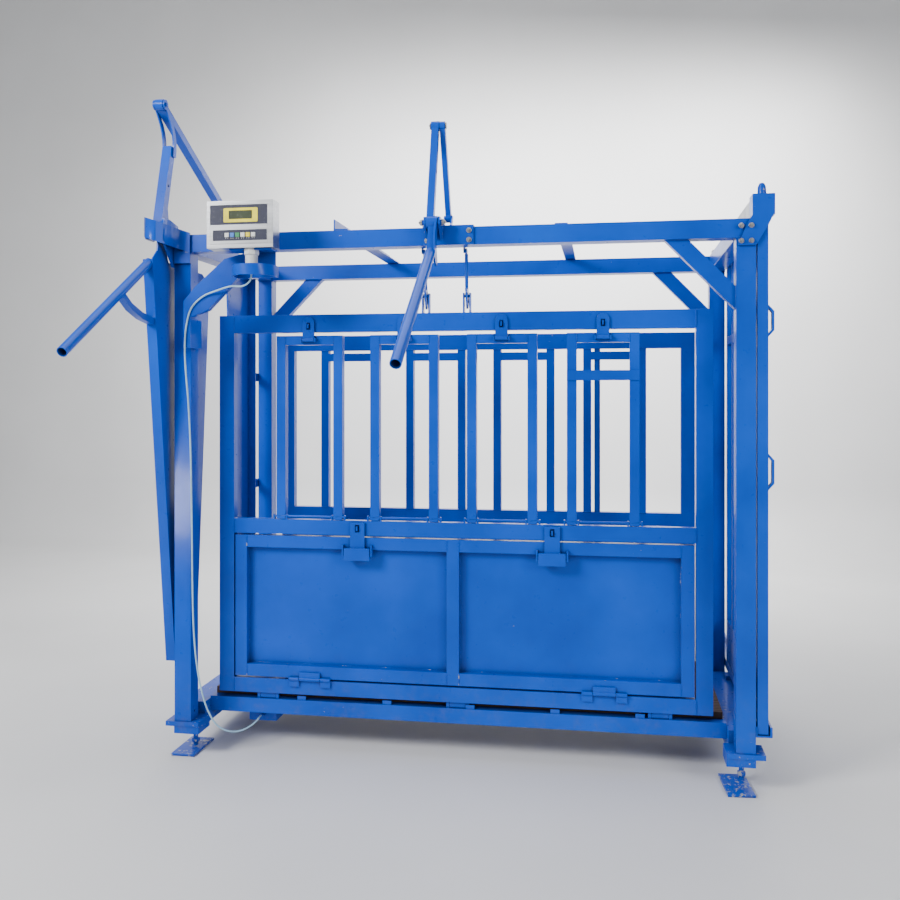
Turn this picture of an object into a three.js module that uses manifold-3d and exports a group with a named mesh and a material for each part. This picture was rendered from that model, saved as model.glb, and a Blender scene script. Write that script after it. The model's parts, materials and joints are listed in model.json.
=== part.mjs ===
// A cattle squeeze chute with a weighing base: an outer portal frame on two load bars, a squeeze side with
// four drop-bar gates and a drop door, a fixed far side, a head gate, a sliding tail gate and a scale
// indicator. Millimetres, +Z up. X runs from the head end (-X) to the tail end (+X).
// The operator stands on the -Y side.
import * as THREE from "three";
import { mergeVertices } from "three/addons/utils/BufferGeometryUtils.js";
import Module from "manifold-3d";

const wasm = await Module();
wasm.setup();

// ---- Driving dimensions -------------------------------------------------------------------------------
const GAP = 0.4; // left between pieces that touch
const TUBE = 70; // square tube of posts and top rails
const HALF = TUBE / 2;
const WALL = 3; // wall of the square tubes
const POST_X = 1100; // post centres along the chute
const POST_Y = 470; // post centres across the chute
const FRAME_TOP = 2116;
const RAIL_BOTTOM = FRAME_TOP - TUBE;
const POST_BOTTOM = 147;
const POST_TOP = RAIL_BOTTOM - 0.4;

const LOAD_BAR_Z = [100, 195];
const BASE_BEAM_Z = [144, 204];
const SIDE_FACE = -345; // outer face of the squeeze side
const SIDE_DEPTH = 40;
const SIDE_X = [-1010, 1000];
const SIDE_Z = [228, 1800];
const SIDE_POST = 64;
const MID_RAIL_Z = [892, 952];
const SIDE_TOP_RAIL = 73;
const SIDE_BOTTOM_RAIL = 60;
const SIDE_HINGE = { y: SIDE_FACE + SIDE_DEPTH / 2, z: 216 };

const BAR = 38; // tube of gates and bars
const GATE_CENTRES = [-620, -220, 180, 580];
const GATE_HALF = 122; // from a gate's middle to each bar's middle
const GATE_PIVOT = { y: SIDE_FACE + 8, z: MID_RAIL_Z[1] + 13 };
const GATE_TOP = 1713;
const HASP = { y: SIDE_FACE - 11, z: 1694, top: 1790, staple: 1752 }; // the gates' hasps turn on y, z

const DOOR_X = [-940, 930];
const DOOR_Z = [296, 884];
const DOOR_TUBE = 50;
const DOOR_PIVOT = { y: SIDE_FACE - 9, z: 294 };
const DOOR_HINGES = [-615, 585];
const DOOR_HINGE_HALF = 88;
const DOOR_LATCHES = [-412, 382];
const DOOR_HASP = { y: SIDE_FACE - 13, z: 817, top: 946, staple: 922 };

const FAR_FACE = 435; // inner face of the far side
const FAR_LOWER = 37; // the far side's rails sit this much lower
const FAR_CENTRES = [-660, -230, 200, 630];
const FAR_HALF = 128;

const HEAD_X = -1163; // plane of the head-gate leaf
const HEAD_PIVOT = { y: -565, z: 2130 };
const HANDLE = { x: -1182, root: { y: -630, z: 1989 }, end: { y: -1238, z: 1607 } };
const HEAD_JOINT = { y: -550, z: 2632 };
const HEAD_GUIDE = { x: -1174, y: 400, z: 2174 };
const HUB_X = [-1206, -1148]; // ends of the hub that the head gate turns on

const SQUEEZE_X = -62;
const SQUEEZE_PIVOT = { y: -560, z: 2125 };
const SQUEEZE_JOINT = { y: -446, z: 2525 };
const LINK_FOOT = { y: -300, z: 2190 };
const ROCKER = { y: -385, z: 2085 };
const ROCKER_ARM = { y: -405, z: 2035 };
const ROD_FOOT = { y: SIDE_HINGE.y, z: 1868 };
const ROD_X = [-130, 38];

const TAIL_X = [1141, 1179];
const TAIL_Y = [-505, 425];
const TAIL_Z = [222, 2100];
const TRACK_X = [1126, 1196];
const TRACK_Z = [2126, 2200];
const TRACK_Y = [-505, 1195];
const KEEPER_TOP = TRACK_Z[0] + 24;
const TAIL_PIN = { x: (TAIL_X[0] + TAIL_X[1]) / 2, y: -476 };

const CASE = { x: -779, front: -700, z: 2115, width: 264, height: 180, depth: 70 };
const KEY_COUNT = 6;
const KEY_PITCH = 21;
const DISPLAY = { x: [-822, -731], z: [2136, 2166] };
const CABLE_R = 3.5;

// ---- Paint, metal, wood and plastic -------------------------------------------------------------------
const FINISH = {
  paint: { color: 0x0462c2, roughness: 0.32, metalness: 0 },
  zinc: { color: 0xb4b8bd, roughness: 0.45, metalness: 0.9 },
  steel: { color: 0xc6c8ca, roughness: 0.3, metalness: 1 },
  cell: { color: 0x9a9da0, roughness: 0.4, metalness: 0.8 },
  wood: { color: 0x6b4a30, roughness: 0.85, metalness: 0 },
  display: { color: 0x4e554c, roughness: 0.25, metalness: 0 },
  navy: { color: 0x141c3c, roughness: 0.4, metalness: 0 },
  white: { color: 0xe8e8e4, roughness: 0.5, metalness: 0 },
  blueKey: { color: 0x2f7fd0, roughness: 0.5, metalness: 0 },
  greenKey: { color: 0x2f9e57, roughness: 0.5, metalness: 0 },
  yellowKey: { color: 0xe8d23a, roughness: 0.5, metalness: 0 },
  cable: { color: 0xa9d3e6, roughness: 0.45, metalness: 0 },
};
const chute = new THREE.Group();

// ---- Solid helpers ------------------------------------------------------------------------------------
function solid(geometry) {
  const g = geometry.clone();
  g.deleteAttribute("normal");
  g.deleteAttribute("uv");
  const merged = mergeVertices(g, 1e-3);
  return new wasm.Manifold(
    new wasm.Mesh({
      numProp: 3,
      vertProperties: merged.attributes.position.array,
      triVerts: new Uint32Array(merged.index.array),
    }),
  );
}

const joined = (pieces) => pieces.reduce((a, b) => a.add(b));
const cut = (body, pieces) => pieces.reduce((a, b) => a.subtract(b), body);

function box([x0, x1], [y0, y1], [z0, z1]) {
  const g = new THREE.BoxGeometry(x1 - x0, y1 - y0, z1 - z0);
  return solid(g.translate((x0 + x1) / 2, (y0 + y1) / 2, (z0 + z1) / 2));
}

// A round bar between two points.
function rod(a, b, radius, sides = 16) {
  const from = new THREE.Vector3(...a);
  const to = new THREE.Vector3(...b);
  const along = to.clone().sub(from);
  const g = new THREE.CylinderGeometry(radius, radius, along.length(), sides);
  g.applyQuaternion(
    new THREE.Quaternion().setFromUnitVectors(new THREE.Vector3(0, 1, 0), along.normalize())
  );
  return solid(g.translate(...from.add(to).multiplyScalar(0.5).toArray()));
}

const rodX = ([x0, x1], y, z, radius, sides) => rod([x0, y, z], [x1, y, z], radius, sides);

// A flat plate drawn by its corners in the YZ plane and thickened along X.
function plateX(points, [x0, x1]) {
  const shape = new THREE.Shape(points.map(([y, z]) => new THREE.Vector2(y, z)));
  const g = new THREE.ExtrudeGeometry(shape, { depth: x1 - x0, bevelEnabled: false });
  const basis = new THREE.Matrix4().makeBasis(
    new THREE.Vector3(0, 1, 0),
    new THREE.Vector3(0, 0, 1),
    new THREE.Vector3(1, 0, 0),
  );
  return solid(g.applyMatrix4(basis).translate(x0, 0, 0));
}

// A flat plate drawn by its corners in the XZ plane and thickened along Y.
function plateY(points, [y0, y1]) {
  const shape = new THREE.Shape(points.map(([x, z]) => new THREE.Vector2(x, z)));
  const g = new THREE.ExtrudeGeometry(shape, { depth: y1 - y0, bevelEnabled: false });
  return solid(g.rotateX(Math.PI / 2).translate(0, y1, 0));
}

// A bar of the given width (along X) and height, from one YZ point to another.
function armX(a, b, x, width, height) {
  const length = Math.hypot(b.y - a.y, b.z - a.z);
  const g = new THREE.BoxGeometry(width, length, height);
  g.rotateX(Math.atan2(b.z - a.z, b.y - a.y));
  return solid(g.translate(x, (a.y + b.y) / 2, (a.z + b.z) / 2));
}

// The same bar as a hollow tube with closed ends and one drain hole in its side.
function tubeX(a, b, x, size) {
  const length = Math.hypot(b.y - a.y, b.z - a.z);
  const angle = Math.atan2(b.z - a.z, b.y - a.y);
  const place = (g) => solid(g.rotateX(angle).translate(x, (a.y + b.y) / 2, (a.z + b.z) / 2));
  const inner = size - 2 * WALL;
  const outside = place(new THREE.BoxGeometry(size, length, size));
  const bore = place(new THREE.BoxGeometry(inner, length - 2 * WALL, inner));
  const drain = place(new THREE.BoxGeometry(size, 2 * DRAIN, 2 * DRAIN).translate(size / 2, 0, 0));
  return { outside, inside: bore.add(drain) };
}

const shrink = ([a, b]) => [a + WALL, b - WALL];
const DRAIN = 5; // half the side of a drain hole

// One hollow tube frame made of box members whose bores run into each other, with one drain hole.
function tubeFrame(members, drain) {
  const outside = joined(members.map((m) => box(...m)));
  const bores = members.map((m) => box(...m.map(shrink)));
  const [x, y, z] = drain;
  const hole = box([x - DRAIN, x + DRAIN], [y - DRAIN, y + DRAIN], [z - DRAIN, z + DRAIN]);
  return cut(outside, [...bores, hole]);
}

function add(name, body, finish) {
  const m = body.getMesh();
  const positions = new Float32Array(m.numVert * 3);
  for (let i = 0; i < m.numVert; i++) {
    positions.set(m.vertProperties.subarray(i * m.numProp, i * m.numProp + 3), i * 3);
  }
  const geometry = new THREE.BufferGeometry();
  geometry.setAttribute("position", new THREE.BufferAttribute(positions, 3));
  geometry.setIndex(new THREE.BufferAttribute(m.triVerts, 1));
  geometry.computeVertexNormals();
  const mesh = new THREE.Mesh(geometry, new THREE.MeshStandardMaterial(FINISH[finish]));
  mesh.name = name;
  chute.add(mesh);
}

// ---- Weighing base ------------------------------------------------------------------------------------
function loadBar(end) {
  const at = (x0, x1) => (end < 0 ? [-POST_X + x0, -POST_X + x1] : [POST_X - x1, POST_X - x0]);
  const inner = POST_Y - TUBE;
  const beam = tubeFrame([[at(-50, 50), [-inner, inner], LOAD_BAR_Z]], [end * POST_X, 0, LOAD_BAR_Z[0]]);
  const ends = [-1, 1].flatMap((side) => {
    const span = (a, b) => (side < 0 ? [-b, -a] : [a, b]);
    return [
      box(at(-70, 70), span(inner - 1, POST_Y + 44), [128, POST_BOTTOM - GAP]),
      box(at(-35, 70), span(inner - 1, POST_Y + 40), [98, 129]),
    ];
  });
  const studHoles = [-1, 1].map((side) => rod(
    [end * POST_X, side * STUD_Y, 90],
    [end * POST_X, side * STUD_Y, 110],
    14,
  ));
  return cut(joined([beam, ...ends]), studHoles);
}

const STUD_Y = 380;
const FOOT = { width: 100, length: 200, thick: 10 };

// The plates stand slightly turned and off centre on their studs, as they were set down.
const FOOT_SHIFT = {
  near_front: [-6, -15, 0],
  near_rear: [-26, -62, 4],
  far_front: [0, 10, 0],
  far_rear: [0, 10, -3],
};

function foot(x, side, [dx, dy, turn]) {
  const g = new THREE.BoxGeometry(FOOT.width, FOOT.length, FOOT.thick);
  g.rotateZ(THREE.MathUtils.degToRad(turn)).translate(x + dx, side * STUD_Y + dy, FOOT.thick / 2);
  const plate = solid(g);
  const stud = rod([x, side * STUD_Y, 5], [x, side * STUD_Y, 119], 10);
  const nuts = [22, 76].map((z) => rod([x, side * STUD_Y, z], [x, side * STUD_Y, z + 14], 17, 6));
  return joined([plate, stud, ...nuts]);
}

// A shear-beam load cell: its root is held under the bar's top wall and the foot's stud pushes on its tip.
function loadCell(x, side) {
  const span = (a, b) => (side < 0 ? [-b, -a] : [a, b]);
  const beam = box([x - 18, x + 18], span(270, 396), [119 + GAP, 155]);
  const root = box([x - 18, x + 18], span(270, 320), [154, LOAD_BAR_Z[1] - WALL - GAP]);
  return beam.add(root);
}

for (const [end, endName] of [[-1, "front"], [1, "rear"]]) {
  let bar = loadBar(end);
  if (end > 0) bar = bar.add(tailGuide());
  add(`load_bar_${endName}`, bar, "paint");
  for (const [side, sideName] of [[-1, "near"], [1, "far"]]) {
    const corner = `${sideName}_${endName}`;
    add(`foot_${corner}`, foot(end * POST_X, side, FOOT_SHIFT[corner]), "paint");
    add(`load_cell_${corner}`, loadCell(end * POST_X, side), "cell");
  }
}

// The bottom guide of the tail gate: a channel that the gate's lower edge runs in, carried by the load bar.
function tailGuide() {
  const y = [TAIL_Y[0] - 5, TRACK_Y[1]];
  const x = [POST_X + HALF + 1, TAIL_X[1] + 14];
  const lips = [[x[0], TAIL_X[0] - 1.5], [TAIL_X[1] + 6, x[1]]].map((lip) => box(lip, y, [218, 250]));
  const floor = box(x, y, [212, 218]);
  const legs = [-300, 300].map((at) => box([POST_X + 20, TAIL_X[1] + 10], [at - 30, at + 30], [150, 213]));
  return joined([floor, ...lips, ...legs]);
}

// The floor frame: two base beams joined by cross members, with the cable's junction box under it.
const CROSS_X = [-653, -291, 52, 392, 723];
const BEAM_X = [-POST_X + 50 + GAP, POST_X - 50 - GAP];
const NEAR_BEAM_Y = [SIDE_FACE, SIDE_FACE + 60];
const FAR_BEAM_Y = [337, 397];
const JUNCTION = { x: -850, y: [-262, -150], z: [84, 146] };

function baseFrame() {
  const members = [
    [BEAM_X, NEAR_BEAM_Y, BASE_BEAM_Z],
    [BEAM_X, FAR_BEAM_Y, BASE_BEAM_Z],
    ...CROSS_X.map((x) =>
      [[x - 25, x + 25], [NEAR_BEAM_Y[0], FAR_FACE + SIDE_DEPTH], [154, BASE_BEAM_Z[1]]]),
  ];
  const frame = tubeFrame(members, [0, 0.5 * (NEAR_BEAM_Y[0] + NEAR_BEAM_Y[1]), BASE_BEAM_Z[0]]);
  const hinges = SIDE_HINGE_X.flatMap((x) => [
    ...[x - 46, x + 34].map((lug) =>
      box([lug, lug + 12], [SIDE_HINGE.y - 11, SIDE_HINGE.y + 11], [BASE_BEAM_Z[1] - 1, 227])),
    rodX([x - 46, x + 46], SIDE_HINGE.y, SIDE_HINGE.z, 6),
  ]);
  const stringer = box(
    [JUNCTION.x - 90, CROSS_X[0]],
    [JUNCTION.y[0], JUNCTION.y[0] + 40],
    [BASE_BEAM_Z[0], BASE_BEAM_Z[0] + 20],
  );
  const tie = box(
    [JUNCTION.x - 90, JUNCTION.x - 50],
    [NEAR_BEAM_Y[1] - 5, JUNCTION.y[1]],
    [BASE_BEAM_Z[0], BASE_BEAM_Z[0] + 20],
  );
  const junction = box([JUNCTION.x - 60, JUNCTION.x + 60], JUNCTION.y, JUNCTION.z);
  const gland = rod([JUNCTION.x, JUNCTION.y[0] + 2, 112], [JUNCTION.x, JUNCTION.y[0] - 22, 112], 9, 12);
  const spacers = CROSS_X.map((x) =>
    box([x - 18, x + 18], [NEAR_BEAM_Y[0] + 4, NEAR_BEAM_Y[0] + 8], [BASE_BEAM_Z[1] - 1, 220]));
  return joined([frame, ...hinges, stringer, tie, junction, gland, ...spacers]);
}
const SIDE_HINGE_X = [-800, 0, 800];
add("base_frame", baseFrame(), "paint");

// Floor planks laid along the chute and tied by cross cleats.
function floorDeck() {
  const y0 = SIDE_FACE + SIDE_DEPTH + 3;
  const pitch = (FAR_FACE - 6 - y0) / 5;
  const planks = [0, 1, 2, 3, 4].map((i) =>
    box([-1040, 1040], [y0 + i * pitch, y0 + (i + 1) * pitch - 6], [BASE_BEAM_Z[1] + GAP, 232]));
  const cleats = [-900, -540, -180, 180, 540, 900].map((x) =>
    box([x - 22, x + 22], [y0 + 10, FAR_FACE - 12], [226, 250]));
  return joined([...planks, ...cleats]);
}
add("floor_deck", floorDeck(), "wood");

// ---- Portal frame -------------------------------------------------------------------------------------
function post(end, side) {
  const x = [end * POST_X - HALF, end * POST_X + HALF];
  const y = [side * POST_Y - HALF, side * POST_Y + HALF];
  return tubeFrame([[x, y, [POST_BOTTOM, POST_TOP]]], [end * (POST_X - HALF), side * POST_Y, 180]);
}

// A corner brace from a post's inner face up to the underside of the rail, cut square to both.
function brace(end, side) {
  const inner = POST_X - HALF + 1;
  const outline = [[inner, 1782], [inner, 1868], [inner - 172, POST_TOP], [inner - 258, POST_TOP]];
  const y = side * POST_Y;
  return plateY(outline.map(([x, z]) => [end * x, z]), [y - 20, y + 20]);
}

add("post_near_front", post(-1, -1).add(headBracket()), "paint");
add("post_near_rear", joined([post(1, -1), brace(1, -1), trackCap()]), "paint");
add("post_far_front", post(-1, 1).add(brace(-1, 1)), "paint");
add("post_far_rear", post(1, 1).add(brace(1, 1)), "paint");

const RAIL_X = [-POST_X - HALF, POST_X + HALF];
for (const [side, name] of [[-1, "near"], [1, "far"]]) {
  const y = [side * POST_Y - HALF, side * POST_Y + HALF];
  add(
    `top_rail_${name}`,
    tubeFrame([[RAIL_X, y, [RAIL_BOTTOM, FRAME_TOP]]], [-900, side * POST_Y, RAIL_BOTTOM]),
    "paint",
  );
}

function crossBeam(end) {
  const y = POST_Y - HALF - GAP;
  const x = [end * POST_X - HALF, end * POST_X + HALF];
  return tubeFrame([[x, [-y, y], [RAIL_BOTTOM, FRAME_TOP]]], [end * POST_X, 0, RAIL_BOTTOM]);
}

// The guide on the front beam that holds the head lever's long link: an upright with a slotted eye.
function linkGuide() {
  const { x, y, z } = HEAD_GUIDE;
  const face = -POST_X - HALF;
  const upright = box([x - 28, face + 1], [y - 9, y + 9], [RAIL_BOTTOM + 10, z + 52]);
  const eye = box([x - 28, x + 28], [y - 9, y + 9], [z - 46, z + 52]);
  const slot = box([x - 21, x + 21], [y - 20, y + 20], [z - 34, z + 40]);
  return upright.add(eye).subtract(slot);
}
add("cross_beam_front", crossBeam(-1).add(linkGuide()), "paint");
add("cross_beam_rear", crossBeam(1), "paint");

// Two bars lie across both top rails: an angle ahead of the squeeze lever and a flat behind it.
const stay = FRAME_TOP + GAP;
const angle = box([-470, -412], [-500, 468], [stay, stay + 6]).add(
  box([-470, -464], [-500, 468], [stay, stay + 44])
);
add("top_stay_angle", angle, "paint");
add("top_flat_bar", box([398, 448], [-480, 500], [stay, stay + 8]), "paint");

// ---- Far side -----------------------------------------------------------------------------------------
function farSide() {
  const y = [FAR_FACE, FAR_FACE + SIDE_DEPTH];
  const z = (v) => v - FAR_LOWER;
  const bottom = BASE_BEAM_Z[1] + GAP;
  const top = z(SIDE_Z[1]);
  const frame = [
    [SIDE_X, y, [bottom, bottom + SIDE_BOTTOM_RAIL]],
    [SIDE_X, y, MID_RAIL_Z.map(z)],
    [SIDE_X, y, [top - SIDE_TOP_RAIL, top]],
    [[SIDE_X[0], SIDE_X[0] + SIDE_POST], y, [bottom, top]],
    [[SIDE_X[1] - SIDE_POST, SIDE_X[1]], y, [bottom, top]],
  ];
  const barY = [y[0] + 1, y[0] + 1 + BAR];
  const bars = FAR_CENTRES.flatMap((c) => [
    ...[c - FAR_HALF, c + FAR_HALF].map((x) =>
      [[x - BAR / 2, x + BAR / 2], barY, [z(MID_RAIL_Z[1]) - 20, top - 20]]),
    [[c - FAR_HALF, c + FAR_HALF], barY, [z(GATE_TOP) - BAR, z(GATE_TOP)]],
  ]);
  const frameBody = tubeFrame([...frame, ...bars], [0, y[1], bottom + 20]);
  const sheetX = [SIDE_X[0] + SIDE_POST - 1, SIDE_X[1] - SIDE_POST + 1];
  const sheet = box(sheetX, [y[0] + 16, y[0] + 19], [bottom + SIDE_BOTTOM_RAIL - 1, z(MID_RAIL_Z[0]) + 1]);
  const round = rod([549, y[0] + 20, z(MID_RAIL_Z[1]) - 5], [549, y[0] + 20, top - 50], 14);
  return joined([frameBody, sheet, round]);
}
add("far_side", farSide(), "paint");

// ---- Squeeze side -------------------------------------------------------------------------------------
const sideY = [SIDE_FACE, SIDE_FACE + SIDE_DEPTH];

function squeezeSide() {
  const frame = tubeFrame(
    [
      [SIDE_X, sideY, [SIDE_Z[0], SIDE_Z[0] + SIDE_BOTTOM_RAIL]],
      [SIDE_X, sideY, MID_RAIL_Z],
      [SIDE_X, sideY, [SIDE_Z[1] - SIDE_TOP_RAIL, SIDE_Z[1]]],
      [[SIDE_X[0], SIDE_X[0] + SIDE_POST], sideY, SIDE_Z],
      [[SIDE_X[1] - SIDE_POST, SIDE_X[1]], sideY, SIDE_Z],
    ],
    [900, SIDE_HINGE.y, SIDE_Z[0]],
  );
  const gatePins = GATE_CENTRES.flatMap((c) => [
    rodX([c - GATE_HALF - 32, c + GATE_HALF + 32], GATE_PIVOT.y, GATE_PIVOT.z, 5, 8),
    ...[-GATE_HALF - 32, -GATE_HALF + 22, GATE_HALF - 28, GATE_HALF + 26].map((x) =>
      box([c + x, c + x + 6], [GATE_PIVOT.y - 7, GATE_PIVOT.y + 9], [MID_RAIL_Z[1] - 1, GATE_PIVOT.z + 7])),
  ]);
  const staples = [
    ...GATE_CENTRES.map((c) => staple(c, HASP)),
    ...DOOR_LATCHES.map((c) => staple(c, DOOR_HASP)),
  ];
  const doorHinges = DOOR_HINGES.flatMap((c) => [
    rodX([c - DOOR_HINGE_HALF, c + DOOR_HINGE_HALF], DOOR_PIVOT.y, DOOR_PIVOT.z, 3.5, 8),
    ...[-1, 1].map((s) => {
      const span = s < 0 ? [c - DOOR_HINGE_HALF, c - 46] : [c + 46, c + DOOR_HINGE_HALF];
      const leaf = box(span, [DOOR_PIVOT.y, SIDE_FACE + 1], [262, DOOR_PIVOT.z]);
      return rodX(span, DOOR_PIVOT.y, DOOR_PIVOT.z, 8, 12).add(leaf);
    }),
  ]);
  const knuckles = SIDE_HINGE_X.map((x) =>
    box([x - 33, x + 33], [SIDE_HINGE.y - 10, SIDE_HINGE.y + 10], [206, SIDE_Z[0] + 1])
      .subtract(rodX([x - 40, x + 40], SIDE_HINGE.y, SIDE_HINGE.z, 6.6)));
  const rodLugs = ROD_X.flatMap((x) => [
    ...[x - 16, x + 10].map((lug) =>
      box([lug, lug + 6], [ROD_FOOT.y - 14, ROD_FOOT.y + 14], [SIDE_Z[1] - 1, ROD_FOOT.z + 12])),
    rodX([x - 16, x + 16], ROD_FOOT.y, ROD_FOOT.z, 6, 12),
  ]);
  return joined([frame, ...gatePins, ...staples, ...doorHinges, ...knuckles, ...rodLugs]);
}

// The staple that a hasp's slot closes over: a stub with a cross hole for a pin.
function staple(centre, hasp) {
  const y = [hasp.y - 9, SIDE_FACE + 1];
  const z = [hasp.staple - 9, hasp.staple + 9];
  return box([centre - 3, centre + 3], y, z).subtract(
    rodX([centre - 9, centre + 9], y[0] + 5, hasp.staple, 2.5, 8)
  );
}

// Two ears and a pin, on the face of a gate or door, that a hasp turns on.
function haspLugs(centre, half, hasp) {
  const ears = [centre - half - 8, centre + half + 2].map((x) =>
    box([x, x + 6], [hasp.y - 7, SIDE_FACE + 3], [hasp.z - 8, hasp.z + 8]));
  return [...ears, rodX([centre - half - 8, centre + half + 8], hasp.y, hasp.z, 4, 8)];
}
add("squeeze_side_frame", squeezeSide(), "paint");

function gate(centre) {
  const y = [SIDE_FACE + 2, SIDE_FACE + 2 + BAR];
  const bottom = MID_RAIL_Z[1] + 2;
  const bars = [-1, 1].map((s) =>
    [[centre + s * GATE_HALF - BAR / 2, centre + s * GATE_HALF + BAR / 2], y, [bottom, GATE_TOP]]);
  const head = [
    [centre - GATE_HALF - BAR / 2, centre + GATE_HALF + BAR / 2],
    y,
    [GATE_TOP - BAR, GATE_TOP],
  ];
  const body = tubeFrame([...bars, head], [centre, y[1], GATE_TOP - BAR / 2]);
  return body.subtract(rodX([centre - 200, centre + 200], GATE_PIVOT.y, GATE_PIVOT.z, 6, 8));
}

// A hasp: a strap that turns on the gate's pin and folds up over the staple on the top rail.
function gateLatch(centre) {
  const x = [centre - 25, centre + 25];
  const y = [HASP.y + 1, HASP.y + 8];
  const barrel = rodX(x, HASP.y, HASP.z, 8, 12);
  const strap = box(x, y, [HASP.z, HASP.top - 25]);
  const round = rod([centre, y[0], HASP.top - 25], [centre, y[1], HASP.top - 25], 25, 20);
  const slot = box([centre - 8, centre + 8], [y[0] - 3, y[1] + 3], [HASP.staple - 15, HASP.staple + 14]);
  return cut(
    joined([barrel, strap, round]),
    [slot, rodX([centre - 40, centre + 40], HASP.y, HASP.z, 4.8, 8)],
  );
}

GATE_CENTRES.forEach((centre, i) => {
  let body = joined([gate(centre), ...haspLugs(centre, 25, HASP)]);
  if (i === GATE_CENTRES.length - 1) {
    body = body.add(
      box([centre - GATE_HALF - 19, centre + GATE_HALF + 19], [SIDE_FACE - 3, SIDE_FACE + 3], [1525, 1565])
    );
  }
  add(`drop_gate_${i + 1}`, body, "paint");
  add(`gate_latch_${i + 1}`, gateLatch(centre), "paint");
});

function sideDoor() {
  const y = [SIDE_FACE, SIDE_FACE + 36];
  const stile = (x) => [[x, x + DOOR_TUBE], y, DOOR_Z];
  const middle = (DOOR_X[0] + DOOR_X[1]) / 2 - DOOR_TUBE / 2 - 13;
  const frame = tubeFrame(
    [
      stile(DOOR_X[0]),
      stile(middle),
      stile(DOOR_X[1] - DOOR_TUBE),
      [DOOR_X, y, [DOOR_Z[0], DOOR_Z[0] + DOOR_TUBE]],
      [DOOR_X, y, [DOOR_Z[1] - DOOR_TUBE, DOOR_Z[1]]],
    ],
    [0, y[0] + 18, DOOR_Z[0]],
  );
  const sheet = box(shrink(DOOR_X), [y[1] - WALL, y[1]], shrink(DOOR_Z));
  const knuckles = DOOR_HINGES.map((c) => {
    const span = [c - 44, c + 44];
    return rodX(span, DOOR_PIVOT.y, DOOR_PIVOT.z, 8, 12)
      .add(box(span, [DOOR_PIVOT.y, SIDE_FACE + 1], [DOOR_PIVOT.z, 322]))
      .subtract(rodX([c - 60, c + 60], DOOR_PIVOT.y, DOOR_PIVOT.z, 4.3, 8));
  });
  const hangers = DOOR_LATCHES.flatMap((c) => [
    ...haspLugs(c, 55, DOOR_HASP),
    ...[c - 63, c + 57].map((x) =>
      box([x, x + 6], [DOOR_HASP.y - 7, SIDE_FACE + 3], [DOOR_HASP.z, DOOR_Z[1] - 30])),
  ]);
  return joined([frame.add(sheet), ...knuckles, ...hangers]);
}
add("side_door", sideDoor(), "paint");

// The door's hasp turns on a pin through its heavy foot and folds up over a staple on the mid rail.
function doorLatch(centre) {
  const x = [centre - 31, centre + 31];
  const y = [DOOR_HASP.y + 2, DOOR_HASP.y + 9];
  const strap = box(x, y, [DOOR_HASP.z, DOOR_HASP.top]);
  const block = box(
    [centre - 54, centre + 54],
    [DOOR_HASP.y - 11, DOOR_HASP.y + 11],
    [DOOR_HASP.z - 25, DOOR_HASP.z + 25],
  );
  const slot = box(
    [centre - 9, centre + 9],
    [y[0] - 3, y[1] + 3],
    [DOOR_HASP.staple - 16, DOOR_HASP.staple + 15],
  );
  return cut(
    joined([strap, block]),
    [slot, rodX([centre - 70, centre + 70], DOOR_HASP.y, DOOR_HASP.z, 4.8, 8)],
  );
}
DOOR_LATCHES.forEach((centre, i) => add(`door_latch_${i + 1}`, doorLatch(centre), "paint"));

// ---- Head gate ----------------------------------------------------------------------------------------
// The bracket that carries the head lever: two cheeks on the front post, a pin through both, and a strap
// that curves round in front of them to the post's face.
function headBracket() {
  const { y, z } = HEAD_PIVOT;
  const postX = -POST_X - HALF;
  const postFace = -POST_Y - HALF;
  const cheek = (xs) => plateX(
    [
      [y - 40, z - 46],
      [postFace - 2, 1984],
      [-POST_Y, 1984],
      [-POST_Y, z + 26],
      [y + 20, z + 40],
      [y - 30, z + 38],
    ],
    xs,
  );
  const inner = cheek([HUB_X[1] + 2, postX - GAP]);
  const pad = box([postX - 2, postX + 1], [postFace + 2, -POST_Y], [1984, POST_TOP - 4]);
  const outer = plateX(
    [[y - 34, z - 44], [y + 34, z - 44], [y + 30, z + 40], [y - 30, z + 38]],
    [HUB_X[0] - 10, HUB_X[0] - 2],
  );
  const pin = rodX([HUB_X[0] - 16, postX - GAP], y, z, 13, 12);
  const plan = [
    [HUB_X[0] - 7, y + 20], [HUB_X[0] - 14, y - 22], [HUB_X[0] + 16, y - 50], [HUB_X[1] + 2, y - 47],
    [postX + 14, postFace - 26], [postX + 40, postFace - 8], [-POST_X + HALF, postFace - 8],
  ];
  const curve = new THREE.CatmullRomCurve3(plan.map(([x, v]) => new THREE.Vector3(x, v, 0)));
  const section = new THREE.Shape([[-40, -4], [40, -4], [40, 4], [-40, 4]].map(([u, v]) =>
    new THREE.Vector2(u, v)));
  const band = new THREE.ExtrudeGeometry(section, { extrudePath: curve, steps: 12 });
  const fall = new THREE.Matrix4().set(
    1,
    0,
    0,
    0,
    0,
    1,
    0,
    0,
    -0.34,
    0,
    1,
    z - 0.34 * -HUB_X[0],
    0,
    0,
    0,
    1,
  );
  const foot = box([postX + 2, -POST_X + HALF], [postFace - 8, postFace + 1], [2000, POST_TOP - 4]);
  const drop = box([postX + 2, -POST_X + HALF], [postFace - 8, postFace - GAP], [2000, 2084]);
  return joined([inner, pad, outer, pin, solid(band.applyMatrix4(fall)), foot, drop]);
}

// The head gate turns as one weldment: a folded leaf that hangs from the hub, the handle and its strut
// on the leaf's outer edge, and an upper arm with curved cheeks out to the top joint.
const LEAF = {
  outer: [[-645, 2000], [-445, 372]],
  inner: [[-103, 1959], [-243, 365]],
};

// Height of the handle's centre line at a given y.
function handleZ(y) {
  const { root, end } = HANDLE;
  return root.z + ((end.z - root.z) * (y - root.y)) / (end.y - root.y);
}

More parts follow.
